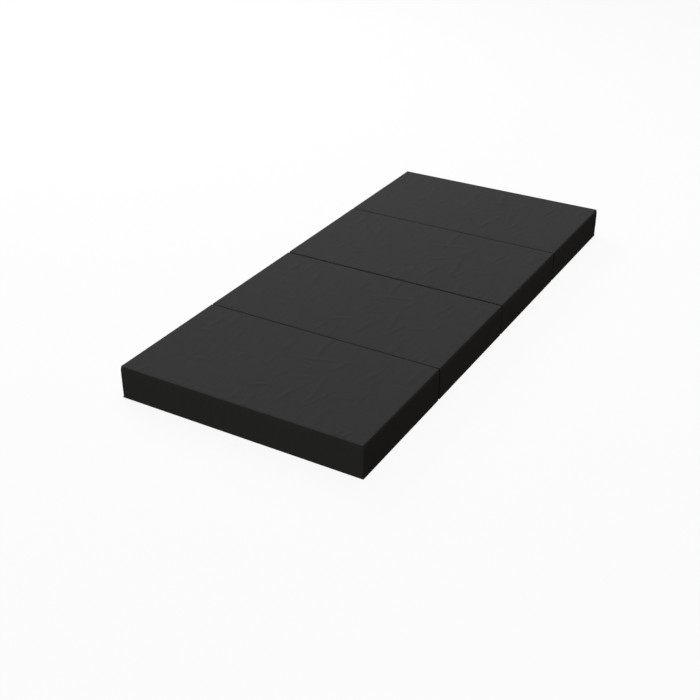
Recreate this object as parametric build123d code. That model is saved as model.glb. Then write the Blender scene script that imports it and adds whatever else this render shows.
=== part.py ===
from build123d import *
import os
from math import hypot

# Folding futon mattress: foam sections in zipped fabric covers, joined edge to edge by cloth hinges.
# +X runs across the mattress, +Y along it and +Z up, from the floor under its middle, in millimetres.
# Section 1 lies at the -Y end, the hinges sit at the top and the base edge in turn, so that the mattress
# folds up in a zigzag, and the zip of each section's cover runs along its -X side.

# Whole mattress
MATTRESS_WIDTH = 900.0
SECTION_COUNT = 4
SECTION_LENGTH = 497.0
SECTION_GAP = 4.0
EDGE_HEIGHT = 117.0
CROWN_RISE = 3.0

# Sewn cover
COVER_THICKNESS = 1.0
CORNER_RADIUS = 4.0
EDGE_RADIUS = 2.5
PANEL_SKIRT = 1.0

# Filling
WADDING_THICKNESS = 8.0
LAYER_GAP = 0.3

# Cloth hinges
HINGE_CLOTH = 0.8
HINGE_DEPTH = 5.0
HINGE_END_INSET = 15.0
HINGE_CLEARANCE = 0.1

# Zip tapes, coils and stops
ZIP_CORNER_GAP = 18.5
TAPE_WIDTH = 14.0
TAPE_THICKNESS = 0.6
TAPE_TUCK = 6.0
COIL_WIDTH = 3.0
COIL_HEIGHT = 2.2
COIL_CHAMFER = 0.8
STOP_LENGTH = 4.0
STOP_HEIGHT = 2.0
STOP_CHAMFER = 0.5
SLOT_CLEARANCE = 1.2

# Zip slider
SLIDER_LENGTH = 15.0
SLIDER_CLEARANCE = 0.3
FRONT_PLATE = 1.4
BACK_PLATE = 1.2
PLATE_ROUNDING = 1.5
SHOULDER_FLARE = 1.0
SHOULDER_LENGTH = 4.5
LIP_THICKNESS = 1.0
WEB_THICKNESS = 0.6
WEB_CLEARANCE = 0.2
WEB_LENGTH = 4.0
BRIDGE_LENGTH = 9.0
BRIDGE_WIDTH = 2.2
BRIDGE_WALL = 1.2

# Zip pull
PULL_LENGTH = 26.0
PULL_WIDTH = 7.0
PULL_THICKNESS = 1.2
PULL_ARM = 1.3
PULL_CLEARANCE = 0.3
PULL_CORNER = 3.0
PULL_HOLE = 3.0
PULL_HOLE_EDGE = 2.0

# The crown's surface runs this far past the cover's edges, so that the cover's outline cuts it cleanly
CROWN_OVERRUN = 20.0

# Seams of the cover, and the filling inside it
TOP_SEAM = EDGE_HEIGHT - EDGE_RADIUS - PANEL_SKIRT
BASE_SEAM = EDGE_RADIUS + PANEL_SKIRT
SECTION_PITCH = SECTION_LENGTH + SECTION_GAP
WADDING_INSET = COVER_THICKNESS + LAYER_GAP
CORE_INSET = WADDING_INSET + WADDING_THICKNESS

# The zip across its run: the split between the coils, the coils, the slider's lips and the slot
COIL_SPLIT = WEB_THICKNESS + 2 * WEB_CLEARANCE
COIL_EDGE = COIL_SPLIT / 2 + COIL_WIDTH
LIP_INNER = COIL_EDGE + SLIDER_CLEARANCE
LIP_OUTER = LIP_INNER + LIP_THICKNESS
SLOT_EDGE = LIP_OUTER + SLOT_CLEARANCE

# The zip along its run
ZIP_HEIGHT = (TOP_SEAM + BASE_SEAM) / 2
ZIP_LENGTH = SECTION_LENGTH - 2 * (CORNER_RADIUS + ZIP_CORNER_GAP + TAPE_TUCK)
COIL_LENGTH = ZIP_LENGTH - 2 * STOP_LENGTH
SLIDER_REST = (COIL_LENGTH - SLIDER_LENGTH) / 2 - SLIDER_CLEARANCE

# The zip's layers, measured outwards from the outer face of the cover
TAPE_FACE = -COVER_THICKNESS
TAPE_BACK = TAPE_FACE - TAPE_THICKNESS
COIL_TOP = TAPE_FACE + COIL_HEIGHT
BACK_PLATE_TOP = TAPE_BACK - SLIDER_CLEARANCE
BACK_PLATE_BASE = BACK_PLATE_TOP - BACK_PLATE
FRONT_PLATE_BASE = COIL_TOP + SLIDER_CLEARANCE
FRONT_PLATE_TOP = FRONT_PLATE_BASE + FRONT_PLATE
PULL_AXIS = FRONT_PLATE_TOP + PULL_CLEARANCE + PULL_THICKNESS / 2
BRIDGE_UNDER = PULL_AXIS + PULL_THICKNESS / 2 + PULL_CLEARANCE
BRIDGE_TOP = BRIDGE_UNDER + BRIDGE_WALL

# The filling stops short of the cover's side walls, which leaves room for the slider's back plate
FILLING_WIDTH = MATTRESS_WIDTH - 2 * (SLIDER_CLEARANCE - BACK_PLATE_BASE)

# The zip is drawn flat, with its run along X and outwards as Z, and then stood against the -X wall
ZIP_WALL = Plane((-MATTRESS_WIDTH / 2, 0, ZIP_HEIGHT), x_dir=(0, 1, 0), z_dir=(-1, 0, 0))


def span(x, y, z):
    """A box between the two limits given for each axis."""
    centre = [(low + high) / 2 for low, high in (x, y, z)]
    return Pos(*centre) * Box(x[1] - x[0], y[1] - y[0], z[1] - z[0])


def crown_height(x, y, inset):
    """Height of the cover's top above the floor at a point of a section, less an inset."""
    rise = CROWN_RISE * (1 - (2 * y / SECTION_LENGTH) ** 2)
    return EDGE_HEIGHT - inset + rise * (1 - (2 * x / MATTRESS_WIDTH) ** 2)


def crown_profile(y, inset):
    """Upright cut across a section, under the arch of its crown."""
    half = MATTRESS_WIDTH / 2 + CROWN_OVERRUN
    shoulder = crown_height(half, y, inset)
    sides = Polyline((-half, shoulder), (-half, 0), (half, 0), (half, shoulder))
    arch = ThreePointArc((half, shoulder), (0, crown_height(0, y, inset)), (-half, shoulder))
    return Plane((0, y, 0), x_dir=(1, 0, 0), z_dir=(0, -1, 0)) * make_face(sides + arch)


def cushion_form(inset, soften):
    """A section's crowned form, drawn in by an inset all over, with its corners and rims softened alike."""
    half = SECTION_LENGTH / 2 + CROWN_OVERRUN
    crowned = loft([crown_profile(y, inset) for y in (-half, 0, half)])
    plan = Rectangle(MATTRESS_WIDTH - 2 * inset, SECTION_LENGTH - 2 * inset)
    plan = soften(plan.vertices(), CORNER_RADIUS - inset)
    form = crowned & Pos(0, 0, inset) * extrude(plan, EDGE_HEIGHT + CROWN_RISE)
    for end in (-1, 0):
        rim = form.faces().sort_by(Axis.Z)[end].edges()
        form = soften(rim, EDGE_RADIUS - inset)
    return form


def slab(low, high):
    """Everything between two heights, wider and longer than a section."""
    return span(
        (-MATTRESS_WIDTH, MATTRESS_WIDTH), (-SECTION_LENGTH, SECTION_LENGTH), (low, high)
    )


def cover_panels():
    """Top and base panels: shallow trays whose rounded rims turn to meet the border at its two seams."""
    shell = cushion_form(0, fillet) - cushion_form(COVER_THICKNESS, chamfer)
    top = shell & slab(TOP_SEAM, EDGE_HEIGHT + 2 * CROWN_RISE)
    base = shell & slab(-EDGE_HEIGHT, BASE_SEAM)
    return top, base


def border_band():
    """Upright border round three sides and two corners, open where the zip strips are sewn in."""
    outer = RectangleRounded(MATTRESS_WIDTH, SECTION_LENGTH, CORNER_RADIUS)
    inner = RectangleRounded(
        MATTRESS_WIDTH - 2 * COVER_THICKNESS,
        SECTION_LENGTH - 2 * COVER_THICKNESS,
        CORNER_RADIUS - COVER_THICKNESS,
    )
    band = Pos(0, 0, BASE_SEAM) * extrude(outer - inner, TOP_SEAM - BASE_SEAM)
    return band - span((-MATTRESS_WIDTH, 0), (-ZIP_LENGTH / 2, ZIP_LENGTH / 2), (BASE_SEAM, TOP_SEAM))


def zip_strip(low, high):
    """One of the two halves of the border between which the zip is sewn."""
    wall = -MATTRESS_WIDTH / 2
    return span((wall, wall + COVER_THICKNESS), (-ZIP_LENGTH / 2, ZIP_LENGTH / 2), (low, high))


def foam_core():
    """The cut block of foam that carries the sleeper."""
    half_width = FILLING_WIDTH / 2
    half_length = SECTION_LENGTH / 2 - CORE_INSET
    return span(
        (-half_width, half_width), (-half_length, half_length), (CORE_INSET, EDGE_HEIGHT - CORE_INSET)
    )


def wadding_wrap():
    """The soft sleeve wound round the core, crowned under the cover and open at the two sides."""
    half_width = FILLING_WIDTH / 2
    sleeve = cushion_form(WADDING_INSET, chamfer) & span(
        (-half_width, half_width),
        (-SECTION_LENGTH, SECTION_LENGTH),
        (0, EDGE_HEIGHT + 2 * CROWN_RISE),
    )
    return sleeve - foam_core()


def mirrored_pair(shape):
    """A piece on one side of the zip's middle line and its twin on the other side."""
    return [shape, mirror(shape, Plane.XZ)]


def zip_tapes():
    """The two woven tapes, tucked behind the border at both ends."""
    half = ZIP_LENGTH / 2 + TAPE_TUCK
    edge = COIL_SPLIT / 2
    return mirrored_pair(span((-half, half), (edge, edge + TAPE_WIDTH), (TAPE_BACK, TAPE_FACE)))


def zip_coils():
    """The two rows of meshed coil, each a bead along the edge of its tape."""
    half = COIL_LENGTH / 2
    bead = span((-half, half), (COIL_SPLIT / 2, COIL_EDGE), (TAPE_FACE, COIL_TOP))
    outer_edges = bead.edges().filter_by(Axis.X).sort_by(Axis.Z)[-2:]
    return mirrored_pair(chamfer(outer_edges, COIL_CHAMFER))


def zip_stops():
    """One stop across both coils at the open end, and one on each tape at the closed end."""
    inner = COIL_LENGTH / 2
    outer = inner + STOP_LENGTH
    height = (TAPE_FACE, TAPE_FACE + STOP_HEIGHT)
    open_stop = span((-outer, -inner), (-COIL_EDGE, COIL_EDGE), height)
    closed_stop = span((inner, outer), (COIL_SPLIT / 2, COIL_EDGE), height)
    return [
        chamfer(stop.faces().sort_by(Axis.Z)[-1].edges(), STOP_CHAMFER)
        for stop in [open_stop] + mirrored_pair(closed_stop)
    ]


def slider_plate(base, top):
    """A slider plate, widest at the shoulders near its nose, where the coils part."""
    half = SLIDER_LENGTH / 2
    shoulder = half - SHOULDER_LENGTH
    flare = LIP_OUTER + SHOULDER_FLARE
    outline = Polygon(
        (-half, -LIP_OUTER), (shoulder, -flare), (half, -LIP_OUTER),
        (half, LIP_OUTER), (shoulder, flare), (-half, LIP_OUTER),
        align=None,
    )
    outline = fillet(outline.vertices(), PLATE_ROUNDING)
    return Pos(0, 0, base) * extrude(outline, top - base)


def zip_slider():
    """Two plates joined by a web in the coils' split, side lips, and a bridge that holds the pull."""
    half = SLIDER_LENGTH / 2
    body = slider_plate(FRONT_PLATE_BASE, FRONT_PLATE_TOP) + slider_plate(BACK_PLATE_BASE, BACK_PLATE_TOP)
    body += span(
        (half - PLATE_ROUNDING - WEB_LENGTH, half - PLATE_ROUNDING),
        (-WEB_THICKNESS / 2, WEB_THICKNESS / 2),
        (BACK_PLATE_BASE, FRONT_PLATE_TOP),
    )
    lip = span(
        (PLATE_ROUNDING - half, half - SHOULDER_LENGTH),
        (LIP_INNER, LIP_OUTER),
        (TAPE_FACE + SLIDER_CLEARANCE, FRONT_PLATE_TOP),
    )
    body += mirrored_pair(lip)
    bridge_half = BRIDGE_LENGTH / 2
    across = (-BRIDGE_WIDTH / 2, BRIDGE_WIDTH / 2)
    bridge = span((-bridge_half, bridge_half), across, (FRONT_PLATE_BASE, BRIDGE_TOP))
    bridge = fillet(bridge.edges().filter_by(Axis.Y).sort_by(Axis.Z)[-2:], BRIDGE_WALL)
    eye_half = bridge_half - BRIDGE_WALL
    bridge -= span((-eye_half, eye_half), across, (FRONT_PLATE_TOP, BRIDGE_UNDER))
    return body + bridge


def zip_pull():
    """A tab on two arms, whose cross bar turns in the eye of the slider's bridge."""
    half = PULL_THICKNESS / 2
    arm_inner = BRIDGE_WIDTH / 2 + PULL_CLEARANCE
    arm_outer = arm_inner + PULL_ARM
    tab_start = hypot(BRIDGE_LENGTH / 2, BRIDGE_TOP - PULL_AXIS) + PULL_CLEARANCE
    arm = span((-tab_start - half, 0), (arm_inner, arm_outer), (-half, half))
    bar = Rot(90, 0, 0) * Cylinder(half, 2 * arm_outer)
    tab_length = PULL_LENGTH - tab_start
    tab = RectangleRounded(tab_length, PULL_WIDTH, PULL_CORNER)
    tab -= Pos(PULL_HOLE_EDGE + (PULL_HOLE - tab_length) / 2) * Circle(PULL_HOLE / 2)
    tab = Pos(-tab_start - tab_length / 2, 0, -half) * extrude(tab, PULL_THICKNESS)
    return Pos(0, 0, PULL_AXIS) * (bar + mirrored_pair(arm) + tab)


def cloth_hinge(base_edge):
    """A strip of cover cloth folded into the gap between two sections and sewn into their facing seams."""
    outer = SECTION_GAP / 2 - HINGE_CLEARANCE
    inner = outer - HINGE_CLOTH
    leg = HINGE_DEPTH - outer
    channel = Rectangle(2 * outer, leg, align=(Align.CENTER, Align.MIN)) + Circle(outer)
    channel -= Rectangle(2 * inner, leg, align=(Align.CENTER, Align.MIN)) + Circle(inner)
    length = MATTRESS_WIDTH - 2 * HINGE_END_INSET
    strip = Plane((-length / 2, 0, 0), x_dir=(0, 1, 0), z_dir=(1, 0, 0)) * extrude(channel, length)
    if base_edge:
        return Pos(0, 0, BASE_SEAM + leg) * mirror(strip, Plane.XY)
    return Pos(0, 0, TOP_SEAM - leg) * strip


def section_pieces():
    """Every piece of one section, by name, with the section's middle at Y = 0."""
    top_panel, base_panel = cover_panels()
    pieces = {
        "foam_core": [foam_core()],
        "wadding_wrap": [wadding_wrap()],
        "top_panel": [top_panel],
        "base_panel": [base_panel],
        "border_band": [border_band()],
        "zip_strip_upper": [zip_strip(ZIP_HEIGHT + SLOT_EDGE, TOP_SEAM)],
        "zip_strip_lower": [zip_strip(BASE_SEAM, ZIP_HEIGHT - SLOT_EDGE)],
    }
    rest = Pos(SLIDER_REST, 0, 0)
    zip_pieces = {
        "zip_tapes": zip_tapes(),
        "zip_coils": zip_coils(),
        "zip_stops": zip_stops(),
        "zip_slider": [rest * zip_slider()],
        "zip_pull": [rest * zip_pull()],
    }
    for name, shapes in zip_pieces.items():
        pieces[name] = [ZIP_WALL.location * shape for shape in shapes]
    return pieces


def save(name, shapes):
    """Write one piece, or one group of like pieces, to its own file."""
    solids = [solid for shape in shapes for solid in shape.solids()]
    export_step(solids[0] if len(solids) == 1 else Compound(solids), f"parts/{name}.step")


os.makedirs("parts", exist_ok=True)
section = section_pieces()
for number in range(1, SECTION_COUNT + 1):
    middle = Pos(0, (number - (SECTION_COUNT + 1) / 2) * SECTION_PITCH, 0)
    for name, shapes in section.items():
        save(f"{name}_{number}", [middle * shape for shape in shapes])
for number in range(1, SECTION_COUNT):
    seam = Pos(0, (number - SECTION_COUNT / 2) * SECTION_PITCH, 0)
    save(f"hinge_strip_{number}", [seam * cloth_hinge(base_edge=number % 2 == 0)])
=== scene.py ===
"""Dresses the folding futon mattress: sewn covers, filling, cloth hinges and zips, on a white floor."""

import math

import bpy
import numpy as np
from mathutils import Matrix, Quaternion, Vector


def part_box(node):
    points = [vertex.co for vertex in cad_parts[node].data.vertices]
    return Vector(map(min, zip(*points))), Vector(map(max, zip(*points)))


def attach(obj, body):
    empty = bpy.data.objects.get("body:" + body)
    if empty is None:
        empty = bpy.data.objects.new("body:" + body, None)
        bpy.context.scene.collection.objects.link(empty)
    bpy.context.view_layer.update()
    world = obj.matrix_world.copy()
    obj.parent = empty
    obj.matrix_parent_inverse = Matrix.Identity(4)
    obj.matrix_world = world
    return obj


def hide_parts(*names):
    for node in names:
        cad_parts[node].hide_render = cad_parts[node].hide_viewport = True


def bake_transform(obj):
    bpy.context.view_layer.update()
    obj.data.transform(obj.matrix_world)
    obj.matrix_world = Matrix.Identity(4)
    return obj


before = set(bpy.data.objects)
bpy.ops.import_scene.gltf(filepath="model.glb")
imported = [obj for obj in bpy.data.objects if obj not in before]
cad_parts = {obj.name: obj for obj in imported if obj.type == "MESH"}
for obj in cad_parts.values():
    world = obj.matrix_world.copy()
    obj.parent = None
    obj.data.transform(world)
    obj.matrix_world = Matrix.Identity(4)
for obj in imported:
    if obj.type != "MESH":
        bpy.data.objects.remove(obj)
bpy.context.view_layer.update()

bl_info = {
    "name": "Folding futon mattress",
    "version": (1, 0, 0),
    "blender": (4, 5, 0),
    "location": "View3D > Sidebar > Futon",
    "description": "Sewn covers, filling, cloth hinges and zips for a mattress in folding sections",
    "category": "Object",
}

# Sizes read from the frame, in metres, for a section whose middle lies at the origin in plan
SECTIONS = sorted(int(name.rsplit("_", 1)[1]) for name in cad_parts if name.startswith("foam_core_"))
SEAMS = sorted(int(name.rsplit("_", 1)[1]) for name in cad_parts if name.startswith("hinge_strip_"))


def box_of(node, section=1):
    """Lowest and highest corner of one of a section's nodes, measured from the section's middle."""
    low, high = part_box(f"{node}_{section}")
    middle = Vector((0, middle_of(section), 0))
    return low - middle, high - middle


def middle_of(section):
    """Where a section's middle lies along the mattress."""
    low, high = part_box(f"border_band_{section}")
    return (low.y + high.y) / 2


border_low, border_high = box_of("border_band")
HALF_WIDTH = border_high.x
HALF_LENGTH = border_high.y
TOP_EDGE = border_low.z + border_high.z
ZIP_END = box_of("zip_strip_upper")[1].y
SLOT_TOP = box_of("zip_strip_upper")[0].z
SLOT_BASE = box_of("zip_strip_lower")[1].z
ZIP_HEIGHT = (SLOT_TOP + SLOT_BASE) / 2

# How finely the meshes are cut
TOP_CELL = 0.004
BASE_CELL = 0.03
WALL_CELL = 0.008
FILLING_CELL = 0.03
HINGE_CELL = 0.012
FLAT_RINGS = 3
ROLL_RINGS = 8
TUCK_RINGS = 2
CORNER_STEPS = 8
SHOULDER_STEPS = 8
HEM_STEPS = 4
CREASE_STEPS = 8
FOAM_EDGE_STEPS = 3
WADDING_STEPS = 8
HINGE_STEPS = 12
COIL_STEPS = 6
COIL_SIDES = 5
STITCH_SIDES = 6

# Share of the wadding's flat faces that is cut into steps, and a direction in which no tube runs
WADDING_FLAT = 0.8
TUBE_GUIDE = (0.31, 0.17, 0.93)

# One stitch from end to end, as shares: how far from its middle, how high, how thick, and how it sits
STITCH_ALONG = np.array((-0.5, -0.42, -0.2, 0.2, 0.42, 0.5))
STITCH_RISE = np.array((0.0, 0.7, 1.0, 1.0, 0.7, 0.0))
STITCH_BREADTH = np.array((0.5, 0.8, 1.0, 1.0, 0.8, 0.5))
STITCH_SINK = 0.4
STITCH_LIFT = 0.6

# Look of the cloth: streaks to a metre each way, sheen, relief beside a thread, and the tape's twill
STREAK_SCALE = (90.0, 12.0, 1.0)
CLOTH_SHEEN = 0.03
THREAD_RELIEF = 0.35
TWILL_PITCH = 0.0012

# Cloth that the filling presses outwards
PRESS_FRAMES = 16
PRESS_FORCE = 0.6
CLOTH_STIFFNESS = 30.0
CLOTH_BENDING = 0.4
LEAST_MOVE = 1e-9

# Creases on a top: steepness and width beside a plain crease, then places in mm from the section's middle
CREASES = (
    (1.00, 1.3, (55, 261), (57, 173), (68, 118)),
    (0.95, 1.1, (-12, 80), (45, 93), (114, 116), (156, 129)),
    (0.30, 1.0, (152, 135), (214, 133)),
    (1.10, 0.8, (18, 65), (57, 75), (94, 67)),
    (0.65, 0.8, (88, 72), (80, 14)),
    (0.65, 0.9, (49, -35), (95, -10), (138, 16)),
    (1.15, 1.0, (-31, -135), (4, -115), (39, -94)),
    (0.95, 1.1, (115, -74), (103, -121), (98, -177)),
    (0.40, 1.0, (124, -26), (116, -79)),
    (0.95, 1.1, (160, 22), (167, -19), (175, -64)),
    (0.85, 0.9, (174, -49), (180, -104), (178, -149)),
    (0.85, 0.8, (225, -29), (214, -79), (199, -121), (178, -167)),
    (0.85, 0.9, (298, 168), (287, 119), (271, 43)),
    (0.40, 1.4, (326, 152), (306, 51)),
    (0.75, 1.0, (175, 146), (166, 101), (154, 58)),
    (0.40, 1.0, (161, 256), (165, 151)),
    (0.75, 0.8, (230, -67), (309, -45)),
    (0.50, 0.9, (321, 14), (321, -46)),
    (0.65, 1.1, (263, -119), (256, -175), (251, -269)),
    (0.75, 0.9, (270, -179), (266, -269)),
    (1.00, 0.8, (358, -200), (343, -264)),
    (1.10, 0.8, (384, -200), (371, -264)),
    (0.90, 1.0, (-251, 182), (-241, 131), (-229, 46)),
    (0.45, 1.3, (-304, 261), (-305, 161), (-298, 88)),
    (0.60, 1.4, (-352, 196), (-354, 118)),
    (0.75, 0.9, (-398, 83), (-323, 82)),
    (0.70, 0.9, (-50, 81), (-51, 35), (-48, -18)),
    (0.50, 1.5, (-54, 180), (-54, 96)),
    (0.40, 0.8, (-159, 154), (-161, 84)),
    (0.60, 0.9, (-151, 32), (-157, -14), (-173, -64)),
    (0.55, 0.9, (-150, 21), (-72, 23)),
    (0.50, 0.9, (-256, 34), (-246, -24)),
    (0.80, 0.9, (-288, -37), (-293, -102)),
    (0.55, 1.3, (-347, -44), (-345, -108)),
    (1.35, 0.8, (-278, -77), (-204, -76)),
    (0.50, 0.9, (-262, -121), (-209, -122)),
    (0.30, 1.0, (-214, -134), (-217, -269)),
    (0.45, 1.1, (-198, -200), (-144, -206), (-90, -216)),
    (0.80, 0.9, (-26, -154), (-32, -194), (-39, -269)),
    (0.80, 0.9, (-39, -212), (0, -203)),
    (0.70, 0.9, (30, -102), (41, -169)),
    (0.55, 1.2, (16, -154), (26, -269)),
    (1.30, 0.9, (-374, -200), (-385, -264)),
    (0.45, 1.6, (406, 211), (400, 101)),
    (0.60, 0.9, (366, 83), (434, 82)),
    (0.30, 1.4, (411, -32), (411, -102)),
    (0.45, 1.1, (41, 39), (27, -13), (12, -64)),
    (0.90, 0.9, (-204, 41), (-141, 34)),
    (0.75, 0.9, (-355, 28), (-298, 20)),
)
MM_PER_METRE = 1000

# Name of the mesh attribute that says where a point lay on the cloth before it was sewn, in metres
FLAT_PLACE = "flat_place"


def number_setting(name, default, description, **kind):
    """A setting that holds a number."""
    return bpy.props.FloatProperty(name=name, description=description, default=default, **kind)


def length_setting(name, default, description):
    """A setting in metres."""
    return number_setting(name, default, description, unit="LENGTH")


def angle_setting(name, default, description):
    """A setting that holds an angle."""
    return number_setting(name, default, description, subtype="ANGLE")


def vector_setting(name, default, description, subtype):
    """A setting that holds three numbers."""
    return bpy.props.FloatVectorProperty(name=name, description=description, default=default, subtype=subtype)


def place_setting(name, default, description):
    """A setting that holds a place in the room."""
    return vector_setting(name, default, description, "TRANSLATION")


def colour_setting(name, default, description):
    """A setting that holds a colour."""
    return vector_setting(name, default, description, "COLOR")


class CoverSettings(bpy.types.PropertyGroup):
    """Sizes and colours of the sewn covers."""

    thickness: length_setting("Cloth", 0.0008, "Thickness of the cover's cloth")
    corner_radius: length_setting("Corner", 0.0035, "Radius of a section's corners in plan")
    corner_draw: length_setting(
        "Corner draw", 0.0010, "How far a border is drawn in at its upright corner seams"
    )
    corner_shoulder: length_setting(
        "Corner shoulder", 0.006, "Width over which a border is drawn in to a corner seam"
    )
    join_inset: length_setting(
        "Border join", 0.046, "Distance of the border's upright join from a section's far end"
    )
    join_draw: length_setting("Join draw", 0.0010, "How far a border is drawn in at its upright join")
    join_shoulder: length_setting("Join shoulder", 0.014, "Width over which a border is drawn in to its join")
    top_roll: length_setting("Top roll", 0.0009, "Radius of the fold along a top panel's rim")
    base_roll: length_setting("Base roll", 0.0008, "Radius of the fold along a base panel's rim")
    roll_turn: angle_setting("Roll turn", math.radians(150), "How far the rim folds under towards its seam")
    seam_tuck: length_setting("Seam allowance", 0.0025, "Cloth turned in at a seam")
    seam_opening: length_setting("Seam opening", 0.0004, "Space between the two cloths of a seam")
    side_draw: length_setting(
        "Side draw", 0.0024, "How far the top seam draws a section in at its long sides"
    )
    end_draw: length_setting("End draw", 0.0018, "How far the top seam draws in the two ends of the mattress")
    top_shoulder: length_setting("Top shoulder", 0.016, "Height over which a border leans to its top seam")
    gap_draw: length_setting(
        "Gap draw", 0.00115, "How far the top seams are drawn in beside a gap that is open above"
    )
    hinge_lean: length_setting(
        "Hinge lean", 0.0002, "How far the top seams lean over a gap that their hinge closes"
    )
    draw_reach: length_setting("Draw reach", 0.030, "Width of the cloth that a seam draws along")
    base_spread: length_setting("Base spread", 0.0010, "How far a section spreads where it rests on its base")
    base_shoulder: length_setting(
        "Base shoulder", 0.008, "Height over which a border spreads to its base seam"
    )
    belly: length_setting("Belly", 0.0005, "How far the border swells between its seams")
    crown: length_setting("Crown", 0.0010, "Rise of the top cover above its rim")
    crease_height: length_setting("Crease height", 0.00175, "Height of a plain crease")
    crease_width: length_setting("Crease width", 0.0052, "Half width of a plain crease")
    crease_margin: length_setting("Crease margin", 0.008, "Width along the rim in which creases run out")
    weave_pitch: length_setting("Weave", 0.0009, "Distance from thread to thread")
    cloth_colour: colour_setting("Cover", (0.0580, 0.0555, 0.0575), "Colour of the top and base cloth")
    border_colour: colour_setting("Border", (0.0580, 0.0560, 0.0555), "Colour of the border cloth")


class ZipSettings(bpy.types.PropertyGroup):
    """Sizes and colours of the zips."""

    coil_pitch: length_setting("Coil pitch", 0.0014, "Distance from turn to turn of a coil")
    coil_wire: length_setting("Coil wire", 0.0007, "Thickness of the coil's wire")
    stitch_length: length_setting("Stitch", 0.0030, "Length of one stitch")
    stitch_gap: length_setting("Stitch gap", 0.0007, "Space between two stitches")
    thread: length_setting("Thread", 0.0006, "Thickness of the sewing thread")
    stitch_inset: length_setting("Stitch inset", 0.0030, "Distance of the stitches from the slot")
    tape_colour: colour_setting("Tape", (0.025, 0.025, 0.026), "Colour of the woven tapes")
    coil_colour: colour_setting("Coil", (0.018, 0.018, 0.019), "Colour of the nylon coils")
    metal_colour: colour_setting("Slider", (0.022, 0.022, 0.023), "Colour of the enamelled sliders")
    thread_colour: colour_setting("Thread", (0.05, 0.05, 0.051), "Colour of the sewing thread")


class FillingSettings(bpy.types.PropertyGroup):
    """Sizes and colours of the filling."""

    foam_corner: length_setting("Foam corner", 0.004, "Radius of the foam block's corners")
    foam_edge: length_setting("Foam edge", 0.002, "Radius of the foam block's edges")
    wadding_edge: length_setting("Wadding edge", 0.014, "Radius of the wadding round the foam's edges")
    wadding_corner: length_setting("Wadding corner", 0.006, "Radius of the wadding's corners in plan")
    slack: length_setting("Slack", 0.001, "Space between the wadding and the cover")
    clearance: length_setting("Clearance", 0.0002, "Space between the layers of the filling")
    foam_colour: colour_setting("Foam", (0.62, 0.58, 0.47), "Colour of the foam")
    wadding_colour: colour_setting("Wadding", (0.78, 0.78, 0.76), "Colour of the wadding")


class StageSettings(bpy.types.PropertyGroup):
    """Camera, lights and floor."""

    camera_place: place_setting("Camera", (1.7419, -3.3101, 1.9659), "Where the camera stands")
    camera_aim: place_setting("Aim", (0.0885, -0.4521, 0.0585), "The point in the middle of the picture")
    camera_roll: angle_setting("Roll", math.radians(-0.052), "Turn of the camera about its own line of sight")
    lens: number_setting("Lens", 57.73, "Focal length on a sensor 36 mm wide")
    key_place: place_setting("Key light", (-4.4, 2.4, 3.3), "Where the main softbox hangs")
    key_size: length_setting("Key size", 3.3, "Side of the main softbox")
    key_power: number_setting("Key power", 216.0, "Power of the main softbox in watts")
    top_place: place_setting("Top light", (0.3, 1.2, 5.0), "Where the softbox overhead hangs")
    top_size: length_setting("Top size", 4.0, "Side of the softbox overhead")
    top_power: number_setting("Top power", 86.0, "Power of the softbox overhead in watts")
    fill_place: place_setting("Fill light", (0.0, -7.0, 2.5), "Where the weak softbox in front stands")
    fill_size: length_setting("Fill size", 3.0, "Side of the weak softbox")
    fill_power: number_setting("Fill power", 74.0, "Power of the weak softbox in watts")
    fill_colour: colour_setting("Fill colour", (0.89, 1.0, 0.98), "Colour of the weak softbox")
    ambient: colour_setting("Ambient", (0.130, 0.130, 0.130), "Light from all round the room")
    floor_glow: colour_setting(
        "Floor glow", (0.100, 0.074, 0.058), "Light that the white floor throws back on the mattress"
    )
    floor_size: length_setting("Floor size", 60.0, "Side of the floor")
    white_share: number_setting(
        "White", 0.92, "How much of the floor's white hides its shadows", subtype="FACTOR"
    )


class Field:
    """A value that varies over a surface. Arithmetic on it adds Math nodes to its finish."""

    def __init__(self, finish, socket):
        self.finish = finish
        self.socket = socket

    def math(self, operation, first, second=None):
        values = {0: first}
        if second is not None:
            values[1] = second
        return self.finish.node("ShaderNodeMath", {"operation": operation}, values)

    def __add__(self, other):
        return self.math("ADD", self, other)

    def __mul__(self, other):
        return self.math("MULTIPLY", self, other)

    __radd__ = __add__
    __rmul__ = __mul__

    def __abs__(self):
        return self.math("ABSOLUTE", self)

    def sine(self):
        return self.math("SINE", self)

    def at_most(self, other):
        return self.math("MINIMUM", self, other)

    def at_least(self, other):
        return self.math("MAXIMUM", self, other)


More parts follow.
